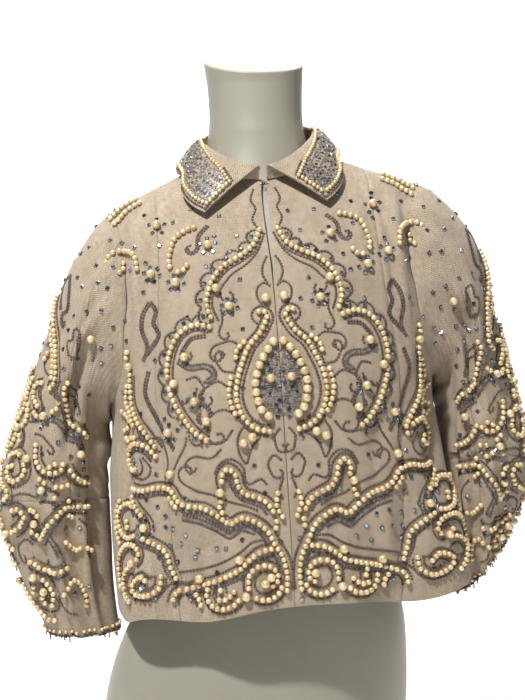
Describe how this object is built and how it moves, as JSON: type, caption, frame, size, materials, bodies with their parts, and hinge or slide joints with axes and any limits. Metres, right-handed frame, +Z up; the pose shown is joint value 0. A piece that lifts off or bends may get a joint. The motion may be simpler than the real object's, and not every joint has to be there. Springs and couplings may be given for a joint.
{
  "type": "beaded jacket on a limbless dress form",
  "caption": "Cropped boxy cloth jacket with a small rolled collar and full long sleeves, beaded with pearls, worn by a smooth limbless dress form.",
  "frame": {"origin": "middle of the form's flat base", "axes": "+X to the wearer's left, +Y to the wearer's back, +Z up through the neck"},
  "size_m": [0.5749, 0.2787, 0.79],
  "materials": {
    "form": "smooth off-white shell with a slight sheen",
    "cloth": "oatmeal herringbone linen with pearls, clear stones and beads sewn on",
    "metal": "dull bronzed wire"
  },
  "bodies": {
    "root": {"dress_form": "form", "front_centre_left": "cloth", "front_centre_right": "cloth", "front_side_left": "cloth", "front_side_right": "cloth", "back": "cloth", "collar": "cloth", "sleeve_left_upper_outer": "cloth", "sleeve_left_upper_under": "cloth", "sleeve_left_lower_outer": "cloth", "sleeve_left_lower_under": "cloth", "sleeve_right_upper_outer": "cloth", "sleeve_right_upper_under": "cloth", "sleeve_right_lower_outer": "cloth", "sleeve_right_lower_under": "cloth", "neck_hook": "metal", "neck_eye": "metal"}
  },
  "joints": []
}
